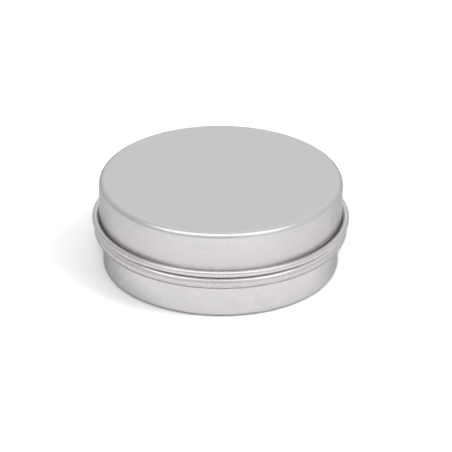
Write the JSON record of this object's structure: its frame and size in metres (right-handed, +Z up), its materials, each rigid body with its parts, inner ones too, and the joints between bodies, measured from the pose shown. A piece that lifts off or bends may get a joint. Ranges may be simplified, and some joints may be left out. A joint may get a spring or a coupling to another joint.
{
  "type": "candle tin",
  "caption": "Shallow round aluminium tin for candles, with a loose slip lid whose rolled edge sits just above a stop bead on the base.",
  "frame": {"origin": "centre of the flat bottom that the tin stands on", "axes": "+Z up along the tin's axis; the tin is round about it, so X and Y are alike"},
  "size_m": [0.068, 0.068, 0.025],
  "materials": {
    "base_shell": "satin drawn sheet, fine grain",
    "lid_shell": "satin drawn sheet, fine grain"
  },
  "bodies": {
    "base": {"base": "base_shell"},
    "lid": {"lid": "lid_shell"}
  },
  "joints": [
    {"name": "lid_lift", "type": "slide", "parent": "base", "child": "lid", "axis": [0, 0, 1], "range_m": [0, 0.06]}
  ]
}
